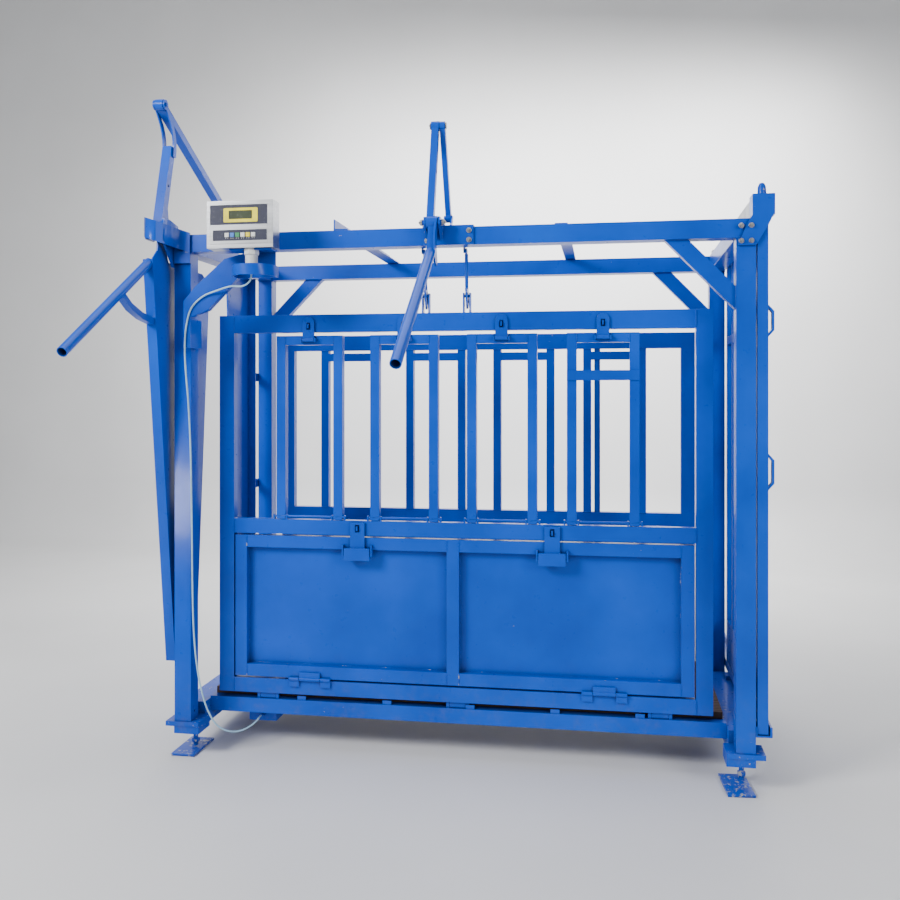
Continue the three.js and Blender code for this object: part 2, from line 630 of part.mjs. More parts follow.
function headGate() {
  const { y, z } = HEAD_PIVOT;
  const neck = [[-180, 2000], [y + 60, 2004], [y + 34, 2050], [y + 30, z], [y - 30, z], [y - 36, 2040]];
  const plate = plateX(
    [LEAF.outer[1], LEAF.inner[1], LEAF.inner[0], ...neck, LEAF.outer[0]],
    [HEAD_X - 3, HEAD_X + 3],
  );
  const flange = ([[y0, z0], [y1, z1]], thick) =>
    plateX([[y1, z1], [y1 + thick, z1], [y0 + thick, z0], [y0, z0]], [HEAD_X - 38, HEAD_X + 3]);
  const edges = [flange(LEAF.outer, 5), flange(LEAF.inner, -5)];
  const ribs = [0.3, 0.65].map((t) => {
    const [a, b] = [LEAF.outer, LEAF.inner].map(([top, low]) => top.map((v, i) => v + (low[i] - v) * t));
    return plateX([a, b, [b[0], b[1] + 6], [a[0], a[1] + 6]], [HEAD_X - 32, HEAD_X]);
  });
  const hub = rodX(HUB_X, y, z, 32, 20);
  const end = (at) => [HANDLE.x, at.y, at.z];
  const grip = rod(end(HANDLE.root), end(HANDLE.end), 19, 16);
  const gripBore = rod(
    [HANDLE.x, -680, handleZ(-680)],
    [HANDLE.x, HANDLE.end.y - 5, handleZ(HANDLE.end.y - 5)],
    16,
    12,
  );
  const strut = [[-862, 1830], [-790, 1786], [-710, 1760], [-610, 1744]];
  const strutPlate = plateX(
    [...strut, ...strut.map(([v, w]) => [v, w + 26]).reverse()],
    [HANDLE.x - 14, HANDLE.x + 14],
  );
  const arm = tubeX({ y: y + 4, z: z + 20 }, { y: -474, z: 2478 }, HEAD_GUIDE.x, BAR);
  const gusset = plateX(
    [[y + 10, z + 26], [y + 86, z + 26], [y + 60, z + 170]],
    [HEAD_GUIDE.x - 4, HEAD_GUIDE.x + 4],
  );
  const toe = plateX(
    [[y + 6, z - 8], [y + 92, z + 22], [y + 92, z + 30], [y + 6, z + 30]],
    [HEAD_GUIDE.x - 16, HEAD_GUIDE.x + 16],
  );
  const cheeks = [-BAR / 2 - 6, BAR / 2].map((x0) =>
    leverCheek({ y: -474, z: 2440 }, HEAD_JOINT, 34, [HEAD_GUIDE.x + x0, HEAD_GUIDE.x + x0 + 6]));
  const pin = rodX([HEAD_GUIDE.x - 30, HEAD_GUIDE.x + 30], HEAD_JOINT.y, HEAD_JOINT.z, 9, 12);
  const body = joined(
    [plate, ...edges, ...ribs, hub, grip, strutPlate, arm.outside, gusset, toe, ...cheeks, pin]
  );
  return cut(body, [gripBore, arm.inside, rodX([-1300, -1100], y, z, 13.6, 12)]);
}

// Curved cheek plates that carry a top joint out past the end of an arm, bowed away from it.
function leverCheek(foot, joint, bow, xs) {
  const half = 13;
  const steps = 6;
  const side = (offset) => Array.from({ length: steps + 1 }, (_, i) => {
    const t = i / steps;
    return [
      foot.y + (joint.y - foot.y) * t + bow * Math.sin(Math.PI * t) + offset,
      foot.z + (joint.z - foot.z) * t,
    ];
  });
  const outline = [...side(half), ...side(-half).reverse()];
  return plateX(outline, xs).add(rodX(xs, joint.y, joint.z, 20, 16));
}

add("head_gate", headGate(), "paint");

// The long link from the lever's top joint through the guide on the front beam.
function headLink() {
  const past = 170;
  const reach = Math.hypot(HEAD_GUIDE.y - HEAD_JOINT.y, HEAD_GUIDE.z - HEAD_JOINT.z);
  const k = (reach + past) / reach;
  const tip = {
    y: HEAD_JOINT.y + (HEAD_GUIDE.y - HEAD_JOINT.y) * k,
    z: HEAD_JOINT.z + (HEAD_GUIDE.z - HEAD_JOINT.z) * k,
  };
  const tube = tubeX({ y: HEAD_JOINT.y + 14, z: HEAD_JOINT.z - 7 }, tip, HEAD_GUIDE.x, 34);
  const eye = rodX([HEAD_GUIDE.x - 17, HEAD_GUIDE.x + 17], HEAD_JOINT.y, HEAD_JOINT.z, 22, 20);
  const body = cut(tube.outside.add(eye), [tube.inside]);
  return body.subtract(rodX([-1300, -1100], HEAD_JOINT.y, HEAD_JOINT.z, 9.6));
}
add("head_link", headLink(), "paint");

// The fixed far jamb that the leaf closes against, with a hollowed edge for the neck.
function farJamb() {
  const edge = Array.from({ length: 9 }, (_, i) => {
    const t = i / 8;
    return [52 + 38 * Math.sin(Math.PI * t), 740 + (2040 - 740) * t];
  });
  const outline = [[320, 740], [320, 2040], ...edge.reverse()];
  const face = -POST_X - HALF - GAP;
  const web = plateX(outline, [face - 14, face - 8]);
  const back = box([face - 14, face + 30], [318, 324], [740, 2040]);
  const rungs = [1010, 1540].map((z) => box([face - 14, face], [318, POST_Y], [z, z + 40]));
  const hook = box([face - 14, face], [90, 324], [2034, 2110]);
  return joined([web, back, ...rungs, hook]);
}
add("head_far_jamb", farJamb(), "paint");

// ---- Squeeze mechanism --------------------------------------------------------------------------------
// A saddle over the near top rail: lever lugs in front, rocker lugs behind.
function squeezeSaddle() {
  const y = [-POST_Y - HALF - 7, -POST_Y - HALF - GAP];
  const back = [-POST_Y + HALF + GAP, -POST_Y + HALF + 7];
  const front = box([-110, 90], y, [RAIL_BOTTOM, FRAME_TOP + 6]);
  const over = box([-110, 90], [y[0], back[1]], [FRAME_TOP + GAP, FRAME_TOP + 6]);
  const rear = box([-110, 90], back, [RAIL_BOTTOM + 12, FRAME_TOP + 6]);
  const { y: py, z: pz } = SQUEEZE_PIVOT;
  const lugs = [SQUEEZE_X - 32, SQUEEZE_X + 24].map((x) =>
    plateX(
      [
        [y[1] - 1, RAIL_BOTTOM + 12], [y[1] - 1, FRAME_TOP + 20], [py + 10, pz + 22],
        [py - 14, pz + 20], [py - 20, pz - 8], [py - 6, pz - 24],
      ],
      [x, x + 8],
    ));
  const pin = rodX([SQUEEZE_X - 38, SQUEEZE_X + 38], py, pz, 11);
  const ears = [-96, 4].map((x) =>
    box([x, x + 8], [back[1] - 1, ROCKER.y + 11], [ROCKER.z - 11, ROCKER.z + 14]));
  const shaftPin = rodX([-100, 16], ROCKER.y, ROCKER.z, 8, 14);
  return joined([front, over, rear, ...lugs, pin, ...ears, shaftPin]);
}
add("squeeze_saddle", squeezeSaddle(), "paint");

function squeezeLever() {
  const { y, z } = SQUEEZE_PIVOT;
  const hub = rodX([SQUEEZE_X - 22, SQUEEZE_X + 22], y, z, 24, 24);
  const arm = tubeX({ y: y + 4, z: z + 14 }, SQUEEZE_JOINT, SQUEEZE_X - 8, 28);
  const head = rodX([SQUEEZE_X - 26, SQUEEZE_X + 34], SQUEEZE_JOINT.y, SQUEEZE_JOINT.z, 9, 14)
    .add(rodX([SQUEEZE_X - 24, SQUEEZE_X + 8], SQUEEZE_JOINT.y, SQUEEZE_JOINT.z, 19, 18));
  const crescent = [
    [y - 20, z + 8], [y - 52, z - 50], [y - 56, z - 110],
    [y - 42, z - 158], [y - 8, z - 168], [y + 2, z - 146],
    [y - 14, z - 100], [y - 8, z - 50], [y + 16, z - 6],
  ];
  const plate = plateX(crescent, [SQUEEZE_X + 12, SQUEEZE_X + 20]);
  const root = { y: y - 36, z: z - 118 };
  const grip = { y: -1202, z: 1562 };
  const handle = rod([SQUEEZE_X, root.y, root.z], [SQUEEZE_X, grip.y, grip.z], 20, 16);
  const web = armX({ y, z: z - 6 }, { y: root.y - 6, z: root.z - 14 }, SQUEEZE_X, 26, 30);
  const fall = (grip.z - root.z) / (grip.y - root.y);
  const bore = rod(
    [SQUEEZE_X, root.y - 34, root.z - 34 * fall],
    [SQUEEZE_X, grip.y - 5, grip.z - 5 * fall],
    17,
    12,
  );
  const body = cut(joined([hub, arm.outside, head, plate, handle, web]), [arm.inside, bore]);
  return body.subtract(rodX([SQUEEZE_X - 60, SQUEEZE_X + 60], y, z, 11.6));
}
add("squeeze_lever", squeezeLever(), "paint");

// The link hangs from the lever's top joint to the rocker's upper arm.
const LINK_X = [SQUEEZE_X + 9, SQUEEZE_X + 31];

function squeezeLink() {
  const xm = (LINK_X[0] + LINK_X[1]) / 2;
  const tube = armX(SQUEEZE_JOINT, LINK_FOOT, xm, LINK_X[1] - LINK_X[0], 26);
  const ends = [[SQUEEZE_JOINT, 17], [LINK_FOOT, 20]].map(([p, r]) => rodX(LINK_X, p.y, p.z, r, 18));
  const holes = [[SQUEEZE_JOINT, 9.8], [LINK_FOOT, 14]].map(([p, r]) => rodX([-200, 200], p.y, p.z, r, 14));
  return cut(joined([tube, ...ends]), holes);
}
add("squeeze_link", squeezeLink(), "paint");

// The rocker: a short tube on the saddle's pin with an upper arm for the link and two lower arms for rods.
function squeezeRocker() {
  const xm = (LINK_X[0] + LINK_X[1]) / 2;
  const tube = rodX([-87, 3], ROCKER.y, ROCKER.z, 15, 18);
  const outer = [[-140, -97], [17, 48]].map((x) => rodX(x, ROCKER.y, ROCKER.z, 15, 18));
  const upper = [LINK_X[0] - 7, LINK_X[1] + 1].map((x) => armX(ROCKER, LINK_FOOT, x + 3, 6, 24));
  const upperPin = rodX([LINK_X[0] - 7, LINK_X[1] + 7], LINK_FOOT.y, LINK_FOOT.z, 8, 14);
  const bridge = rodX([-140, 48], ROCKER.y + 22, ROCKER.z - 4, 7, 12);
  const webs = [-110, -50, 0, 30].map((x) =>
    box([x - 4, x + 4], [ROCKER.y, ROCKER.y + 26], [ROCKER.z - 11, ROCKER.z + 7]));
  const lower = ROD_X.flatMap((x) => [
    armX(ROCKER, ROCKER_ARM, x, 6, 22),
    rodX([x - 3, x + 13], ROCKER_ARM.y, ROCKER_ARM.z, 6, 12),
  ]);
  const body = joined([tube, ...outer, bridge, ...webs, ...upper, upperPin, ...lower]);
  const bore = rodX([-160, 60], ROCKER.y, ROCKER.z, 8.6, 14);
  const earRoom = [[-98, -86], [2, 14]].map((x) => rodX(x, ROCKER.y, ROCKER.z, 24, 16).subtract(
    box([x[0] - 1, x[1] + 1], [ROCKER.y + 15.5, ROCKER.y + 40], [ROCKER.z - 30, ROCKER.z + 30])));
  return cut(body, [bore, ...earRoom]);
}
add("squeeze_rocker", squeezeRocker(), "paint");

// A push rod with an eye at its head and a slotted flat foot on the squeeze side's pin.
function pushRod(x) {
  const xr = x + 8;
  const length = Math.hypot(ROD_FOOT.y - ROCKER_ARM.y, ROD_FOOT.z - ROCKER_ARM.z);
  const along = (d) => ({
    y: ROCKER_ARM.y + ((ROD_FOOT.y - ROCKER_ARM.y) * d) / length,
    z: ROCKER_ARM.z + ((ROD_FOOT.z - ROCKER_ARM.z) * d) / length,
  });
  const eye = rodX([xr - 4, xr + 4], ROCKER_ARM.y, ROCKER_ARM.z, 13, 16).subtract(
    rodX([xr - 9, xr + 9], ROCKER_ARM.y, ROCKER_ARM.z, 6.6, 12)
  );
  const [a, b] = [along(11), along(length - 30)];
  const shank = rod([xr, a.y, a.z], [x, b.y, b.z], 7, 12);
  const blade = armX(along(length - 40), along(length + 48), x, 8, 42);
  const slot = armX(along(length - 16), along(length + 34), x, 20, 27);
  return joined([eye, shank, blade.subtract(slot)]);
}
add("squeeze_rod_front", pushRod(ROD_X[0]), "paint");
add("squeeze_rod_rear", pushRod(ROD_X[1]), "paint");

// ---- Tail gate ----------------------------------------------------------------------------------------
// The boxed end of the track with the flared bracket that carries it on the rear post.
function trackCap() {
  const y = [-POST_Y - HALF, -POST_Y + HALF];
  const x0 = POST_X - HALF;
  const outline = [
    [x0 + 6, RAIL_BOTTOM - 30], [POST_X + HALF, RAIL_BOTTOM - 30], [TAIL_X[1] - 2, RAIL_BOTTOM + 40],
    [TRACK_X[1], TRACK_Z[0] + 1], [TRACK_X[0] - 4, TRACK_Z[0] + 1], [POST_X - 2, RAIL_BOTTOM + 40],
  ];
  const flare = plateY(outline, [y[0] - 12, y[0] - GAP]);
  const plate = box([x0 + 6, POST_X + HALF], [y[0] - 12, y[0] + 1], [RAIL_BOTTOM - 30, POST_TOP - 3]);
  const wall = 4;
  const yCap = [y[0] - 12, y[0] + 66];
  const shell = box([TRACK_X[0] - 5, TRACK_X[1] + 5], yCap, [TRACK_Z[0], TRACK_Z[1] + 3]);
  const room = box(
    [TRACK_X[0] - 1, TRACK_X[1] + 1],
    [yCap[0] + wall, yCap[1] + 1],
    [TRACK_Z[0] + wall, TRACK_Z[1] - 1],
  );
  const pinHole = rod(
    [TAIL_PIN.x, TAIL_PIN.y, TRACK_Z[1] - 20],
    [TAIL_PIN.x, TAIL_PIN.y, TRACK_Z[1] + 20],
    14.5,
  );
  const slit = box(
    [TAIL_X[0] - 2, TAIL_X[1] + 2],
    [yCap[0] + wall, yCap[1] + 1],
    [TRACK_Z[0] - 1, TRACK_Z[0] + 10],
  );
  return cut(joined([flare, plate, shell]), [room, pinHole, slit]);
}

// The open channel, slotted below, that the gate's hangers run in.
function tailTrack() {
  const y = [TRACK_Y[0] + 2, TRACK_Y[1]];
  const outside = box([TRACK_X[0], TRACK_X[1]], y, [TRACK_Z[0] + 5, TRACK_Z[1] - 2]);
  const inside = box(
    [TRACK_X[0] + 4, TRACK_X[1] - 4],
    [y[0] - 1, y[1] + 1],
    [TRACK_Z[0] + 9, TRACK_Z[1] - 6],
  );
  const slot = box([TAIL_X[0] + 4, TAIL_X[1] - 4], [y[0] - 1, y[1] + 1], [TRACK_Z[0], TRACK_Z[0] + 20]);
  const pinHole = rod(
    [TAIL_PIN.x, TAIL_PIN.y, TRACK_Z[1] - 20],
    [TAIL_PIN.x, TAIL_PIN.y, TRACK_Z[1] + 20],
    14.5,
  );
  const feet = [POST_Y, POST_Y - 470].map((at) =>
    box([POST_X - 20, TRACK_X[0] + 1], [at - 25, at + 25], [FRAME_TOP + GAP, FRAME_TOP + 30]));
  return cut(joined([outside, ...feet]), [inside, slot, pinHole]);
}
add("tail_track", tailTrack(), "zinc");

function tailGate() {
  const rail = (z) => [TAIL_X, TAIL_Y, [z, z + BAR]];
  const stile = (y) => [TAIL_X, [y, y + BAR], TAIL_Z];
  const width = TAIL_Y[1] - TAIL_Y[0] - BAR;
  const bars = [0, 1, 2, 3, 4, 5].map((i) => stile(TAIL_Y[0] + (i * width) / 5));
  const frame = tubeFrame(
    [rail(TAIL_Z[0]), rail(400), rail(1700), rail(TAIL_Z[1] - BAR), ...bars],
    [TAIL_X[0], -40, 1719],
  );
  const kick = box([TAIL_X[0], TAIL_X[0] + WALL], TAIL_Y, [TAIL_Z[0], 420]);
  const handles = [[1678, 1800], [1115, 1253]].map(([low, high]) => {
    const x = TAIL_X[1];
    const outline = [
      [x - 1, low],
      [x + 22, low + 26],
      [x + 22, high - 26],
      [x - 1, high],
      [x - 1, high - 12],
      [x + 14, high - 30],
      [x + 14, low + 30],
      [x - 1, low + 12],
    ];
    return plateY(outline, [TAIL_Y[0] + 4, TAIL_Y[0] + 34]);
  });
  const runners = [-300, 250].flatMap((y) => [
    box([TAIL_X[0] + 8, TAIL_X[1] - 8], [y - 24, y + 24], [TAIL_Z[1] - 1, TRACK_Z[0] + 30]),
    box([TRACK_X[0] + 8, TRACK_X[1] - 8], [y - 40, y + 40], [TRACK_Z[0] + 12, TRACK_Z[0] + 44]),
  ]);
  const keeper = box(
    [TAIL_X[0] + 6, TAIL_X[1] - 6],
    [TAIL_Y[0] + 2, TAIL_Y[0] + 60],
    [TAIL_Z[1] - 1, KEEPER_TOP],
  );
  const pinHole = rod(
    [TAIL_PIN.x, TAIL_PIN.y, TRACK_Z[0] - 6],
    [TAIL_PIN.x, TAIL_PIN.y, TRACK_Z[0] + 40],
    12.6,
    12,
  );
  return joined([frame, kick, ...handles, ...runners, keeper]).subtract(pinHole);
}
add("tail_gate", tailGate(), "paint");

// The lock pin stands in the cap and the track over the gate's keeper, and lifts out by its round head.
function lockPin() {
  const { x, y } = TAIL_PIN;
  const shank = rod([x, y, KEEPER_TOP + 1.5], [x, y, TRACK_Z[1] + 6], 11, 14);
  const profile = [
    [0, TRACK_Z[1] + 3 + GAP],
    [17, TRACK_Z[1] + 3 + GAP],
    [15, TRACK_Z[1] + 34],
    [9, TRACK_Z[1] + 48],
    [0, TRACK_Z[1] + 51],
  ];
  const head = new THREE.LatheGeometry(profile.map(([r, z]) => new THREE.Vector2(r, z)), 16);
  head.rotateX(Math.PI / 2).translate(x, y, 0);
  return shank.add(solid(head));
}
add("tail_lock_pin", lockPin(), "paint");

// ---- Scale indicator ----------------------------------------------------------------------------------
const CASE_X = [CASE.x - CASE.width / 2, CASE.x + CASE.width / 2];
const CASE_Z = [CASE.z - CASE.height / 2, CASE.z + CASE.height / 2];
const CASE_Y = [CASE.front, CASE.front + CASE.depth];
const PANEL = { x: [CASE_X[0] + 13, CASE_X[1] - 22], z: [CASE_Z[0] + 16, CASE_Z[1] - 16], thick: 4 };
const KEY = { z: CASE_Z[0] + 50, x0: CASE.x - 52, half: 8 };
const GLAND = { x: CASE.x + 32, y: CASE.front + 40 };

const GLAND_FOOT = CASE_Z[0] - 60;
const ARM = { x: -POST_X + HALF + GAP, y: [-575, -545] };

// A bent arm off the near front post, a horseshoe strap that guards the connector and a plate
// under the case.
const GUARD = {
  x: GLAND.x + 4,
  y: CASE.front + 62,
  back: CASE.front + 96,
  radius: 84,
  z: [1922, 1964],
  strap: 5,
};

function indicatorBracket() {
  const { x, y, back, radius, z, strap } = GUARD;
  const horseshoe = (r, end) => {
    const turn = Array.from({ length: 11 }, (_, i) => {
      const a = Math.PI * (1 + i / 10);
      return [x + r * Math.cos(a), y + r * Math.sin(a)];
    });
    return [...turn, [x + r, end], [x - r, end]].map(([u, v]) => new THREE.Vector2(u, v));
  };
  const ring = new THREE.Shape(horseshoe(radius, back));
  ring.holes.push(new THREE.Path(horseshoe(radius - strap, back - strap)));
  const guard = new THREE.ExtrudeGeometry(ring, { depth: z[1] - z[0], bevelEnabled: false });
  const under = [CASE_Z[0] - 6, CASE_Z[0] - GAP];
  const seat = box([x - radius, x + radius], [y - 48, back], under)
    .subtract(rod([GLAND.x, GLAND.y, under[0] - 5], [GLAND.x, GLAND.y, under[1] + 5], 33, 16));
  const riser = box([x - 30, x + 74], [back - strap, back], [z[0], under[1]]);
  const limb = plateY([
    [ARM.x, 1655], [ARM.x + 30, 1655], [ARM.x + 30, 1776], [-962, 1803], [-836, 1930], [-836, 1962],
    [x - radius + 20, 1964], [x - radius + 20, under[1]], [-892, 2004], [-1015, 1897], [ARM.x, 1840],
  ], ARM.y);
  const mount = box([ARM.x, ARM.x + 30], [ARM.y[1] - 1, -POST_Y], [1655, 1770]);
  const tie = box([x - radius, x - radius + 40], [back - 1, ARM.y[0] + 1], z);
  return joined([solid(guard.translate(0, 0, z[0])), seat, riser, limb, mount, tie]);
}
add("indicator_bracket", indicatorBracket(), "paint");

// The stainless case: a shell open at the front, closed by the key panel.
function indicatorCase() {
  const shell = box(CASE_X, CASE_Y, CASE_Z);
  const opening = box(PANEL.x, [CASE_Y[0] - 1, CASE_Y[1] - 3], PANEL.z);
  const glandHole = rod([GLAND.x, GLAND.y, CASE_Z[0] - 5], [GLAND.x, GLAND.y, CASE_Z[0] + 20], 8.5, 12);
  return cut(shell, [opening, glandHole]);
}
add("indicator_case", indicatorCase(), "steel");

const keyX = (i) => KEY.x0 + i * KEY_PITCH;
const keyHalf = (extra) => (i) => [
  [keyX(i) - KEY.half - extra, keyX(i) + KEY.half + extra],
  [KEY.z - KEY.half - extra, KEY.z + KEY.half + extra],
];

function indicatorPanel() {
  const inset = PANEL.x.map((v, i) => v + (i ? -GAP : GAP));
  const insetZ = PANEL.z.map((v, i) => v + (i ? -GAP : GAP));
  const plate = box(inset, [CASE.front + 1, CASE.front + 1 + PANEL.thick], insetZ);
  const board = box(
    [inset[0] + 8, inset[1] - 8],
    [CASE.front + 12, CASE.front + 14],
    [insetZ[0] + 8, insetZ[1] - 8],
  );
  const posts = [inset[0] + 14, inset[1] - 14].map((x) =>
    box([x - 4, x + 4], [CASE.front + 4, CASE.front + 13], [KEY.z - 6, KEY.z + 6]));
  const wells = Array.from({ length: KEY_COUNT }, (_, i) => {
    const [x, z] = keyHalf(0.5)(i);
    return box(x, [CASE.front - 5, CASE.front + 8], z);
  });
  const window = box(DISPLAY.x, [CASE.front - 5, CASE.front + 8], DISPLAY.z);
  return cut(joined([plate, board, ...posts]), [...wells, window]);
}
add("indicator_panel", indicatorPanel(), "navy");

const displayEdge = ([a, b]) => [a + GAP, b - GAP];
const screen = [CASE.front + 2, CASE.front + 10];
add("indicator_display", box(displayEdge(DISPLAY.x), screen, displayEdge(DISPLAY.z)), "display");

const KEY_FINISH = ["white", "blueKey", "greenKey", "white", "yellowKey", "white"];
for (let i = 0; i < KEY_COUNT; i++) {
  const [x, z] = keyHalf(0)(i);
  add(`key_${i + 1}`, box(x, [CASE.front - 1.5, CASE.front + 8], z), KEY_FINISH[i]);
}

function gland() {
  const { x, y } = GLAND;
  const nut = rod([x, y, CASE_Z[0] - GAP], [x, y, CASE_Z[0] - 22], 30, 8);
  const stem = rod([x, y, CASE_Z[0] - 1], [x, y, CASE_Z[0] + 12], 8, 12);
  const dome = rod([x, y, CASE_Z[0] - 21], [x, y, GLAND_FOOT], 24, 16);
  return joined([nut, stem, dome]);
}
add("indicator_gland", gland(), "white");

// The load-cell cable hangs from the gland, follows the arm to the post, drops beside it and comes up again
// to the junction box under the floor frame.
const CABLE_ROUTE = [
  [GLAND.x, GLAND.y, GLAND_FOOT - GAP],
  [GLAND.x, GLAND.y, 1935],
  [GLAND.x - 8, GLAND.y + 2, 1905],
  [-785, -644, 1888],
  [-850, -616, 1890],
  [-915, -592, 1878],
  [-980, -582, 1856],
  [-1028, -580, 1812],
  [-1050, -580, 1740],
  [-1056, -580, 1660],
  [-1057, -572, 1580],
  [-1056, -550, 1450],
  [-1055, -532, 1280],
  [-1054, -524, 1080],
  [-1053, -520, 880],
  [-1052, -518, 700],
  [-1049, -515, 540],
  [-1041, -508, 400],
  [-1026, -497, 285],
  [-1003, -482, 190],
  [-972, -462, 124],
  [-935, -434, 92],
  [-900, -398, 82],
  [-870, -356, 90],
  [-854, -320, 103],
  [JUNCTION.x, -300, 112],
  [JUNCTION.x, JUNCTION.y[0] - 22.4, 112],
];

function cable() {
  const curve = new THREE.CatmullRomCurve3(
    CABLE_ROUTE.map((p) => new THREE.Vector3(...p)),
    false,
    "centripetal",
  );
  const section = new THREE.Shape();
  section.absarc(0, 0, CABLE_R, 0, 2 * Math.PI);
  const geometry = new THREE.ExtrudeGeometry(section, { extrudePath: curve, steps: 78, curveSegments: 4 });
  return solid(geometry);
}
add("indicator_cable", cable(), "cable");

// ---- Place the origin at the middle of the footprint ---------------------------------------------------
const cordFree = new THREE.Box3();
for (const mesh of chute.children) {
  if (mesh.name !== "indicator_cable") cordFree.expandByObject(mesh);
}
const middle = cordFree.getCenter(new THREE.Vector3());
for (const mesh of chute.children) mesh.position.set(-middle.x, -middle.y, -cordFree.min.z);

export default chute;
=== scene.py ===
import json
import math
import random

import bmesh
import bpy
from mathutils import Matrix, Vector


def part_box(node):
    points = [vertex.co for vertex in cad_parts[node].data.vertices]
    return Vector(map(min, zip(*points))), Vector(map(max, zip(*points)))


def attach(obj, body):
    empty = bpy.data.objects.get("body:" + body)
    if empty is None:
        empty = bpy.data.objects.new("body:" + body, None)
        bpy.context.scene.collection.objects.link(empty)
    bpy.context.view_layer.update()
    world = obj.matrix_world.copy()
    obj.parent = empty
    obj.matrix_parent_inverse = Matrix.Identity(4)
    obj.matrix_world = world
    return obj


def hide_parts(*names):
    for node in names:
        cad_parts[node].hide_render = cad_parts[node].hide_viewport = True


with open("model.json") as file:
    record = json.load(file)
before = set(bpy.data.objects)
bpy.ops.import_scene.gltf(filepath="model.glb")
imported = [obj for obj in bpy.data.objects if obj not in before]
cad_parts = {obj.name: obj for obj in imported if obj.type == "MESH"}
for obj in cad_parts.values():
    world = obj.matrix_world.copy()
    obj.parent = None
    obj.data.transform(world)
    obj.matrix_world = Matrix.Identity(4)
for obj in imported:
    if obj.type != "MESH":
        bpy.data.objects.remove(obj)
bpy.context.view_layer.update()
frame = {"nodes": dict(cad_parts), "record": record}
random.seed(7)
SHIFT = (10.950, 26.554, 0.0)  # millimetres from the drawing's coordinates to the part's frame


def at(x, y, z):
    """A point of the drawing, in millimetres, as a point of the part's frame in metres."""
    return Vector(((x + SHIFT[0]) / 1000, (y + SHIFT[1]) / 1000, (z + SHIFT[2]) / 1000))


# ---- Camera ---------------------------------------------------------------------------------------
camera = bpy.data.objects.new("camera", bpy.data.cameras.new("camera"))
bpy.context.scene.collection.objects.link(camera)
camera.location = (0.609, -4.114, 1.453)
camera.rotation_euler = (math.radians(90), 0, math.radians(9.382))
camera.data.sensor_width = 36
camera.data.lens = 38.16
camera.data.shift_y = -0.0571
bpy.context.scene.camera = camera


# ---- Node helpers ---------------------------------------------------------------------------------
class Graph:
    """A small builder of one material's nodes."""

    def __init__(self, name):
        self.material = bpy.data.materials.new(name)
        self.material.use_nodes = True
        self.tree = self.material.node_tree
        self.bsdf = self.tree.nodes["Principled BSDF"]
        self.place = self.add("ShaderNodeTexCoord").outputs["Object"]

    def add(self, kind, **values):
        node = self.tree.nodes.new(kind)
        for key, value in values.items():
            if key in node.inputs:
                node.inputs[key].default_value = value
            else:
                setattr(node, key, value)
        return node

    def link(self, a, b):
        self.tree.links.new(a, b)

    def stretched(self, scale):
        node = self.add("ShaderNodeMapping")
        node.inputs["Scale"].default_value = scale
        self.link(self.place, node.inputs["Vector"])
        return node.outputs["Vector"]

    def noise(self, scale, detail=3.0, rough=0.5, place=None):
        node = self.add("ShaderNodeTexNoise", Scale=scale, Detail=detail, Roughness=rough)
        self.link(place or self.place, node.inputs["Vector"])
        return node.outputs["Fac"]

    def ramp(self, value, stops):
        node = self.add("ShaderNodeValToRGB")
        ramp = node.color_ramp
        ramp.elements[0].position, ramp.elements[0].color = stops[0][0], rgba(stops[0][1])
        ramp.elements[1].position, ramp.elements[1].color = stops[-1][0], rgba(stops[-1][1])
        for position, colour in stops[1:-1]:
            ramp.elements.new(position).color = rgba(colour)
        self.link(value, node.inputs["Fac"])
        return node.outputs["Color"]

    def mask(self, value, low, high):
        node = self.add("ShaderNodeMapRange", clamp=True)
        node.inputs["From Min"].default_value = low
        node.inputs["From Max"].default_value = high
        self.link(value, node.inputs["Value"])
        return node.outputs["Result"]

    def maths(self, operation, a, b):
        node = self.add("ShaderNodeMath", operation=operation)
        for socket, value in zip(node.inputs, (a, b)):
            if isinstance(value, (int, float)):
                socket.default_value = value
            else:
                self.link(value, socket)
        return node.outputs[0]

    def mix(self, factor, a, b):
        node = self.add("ShaderNodeMix", data_type="RGBA")
        self.link(factor, node.inputs["Factor"])
        for socket, value in ((node.inputs[6], a), (node.inputs[7], b)):
            if isinstance(value, tuple):
                socket.default_value = rgba(value)
            else:
                self.link(value, socket)
        return node.outputs[2]

    def height(self):
        """The height above the ground."""
        node = self.add("ShaderNodeSeparateXYZ")
        self.link(self.place, node.inputs[0])
        return node.outputs["Z"]

    def roughness(self, value, low, high):
        node = self.add("ShaderNodeMapRange", clamp=True)
        node.inputs["To Min"].default_value = low
        node.inputs["To Max"].default_value = high
        self.link(value, node.inputs["Value"])
        self.link(node.outputs["Result"], self.bsdf.inputs["Roughness"])

    def bump(self, value, strength, distance):
        node = self.add("ShaderNodeBump")
        node.inputs["Strength"].default_value = strength
        node.inputs["Distance"].default_value = distance
        self.link(value, node.inputs["Height"])
        self.link(node.outputs["Normal"], self.bsdf.inputs["Normal"])

    def set(self, **values):
        for key, value in values.items():
            self.bsdf.inputs[key.replace("_", " ")].default_value = value


def rgba(colour):
    return (*colour, 1.0)


# ---- Materials ------------------------------------------------------------------------------------
BLUE = (0.0, 0.074, 0.53)
BLUE_DEEP = (0.0, 0.055, 0.42)
BLUE_PALE = (0.0, 0.094, 0.63)


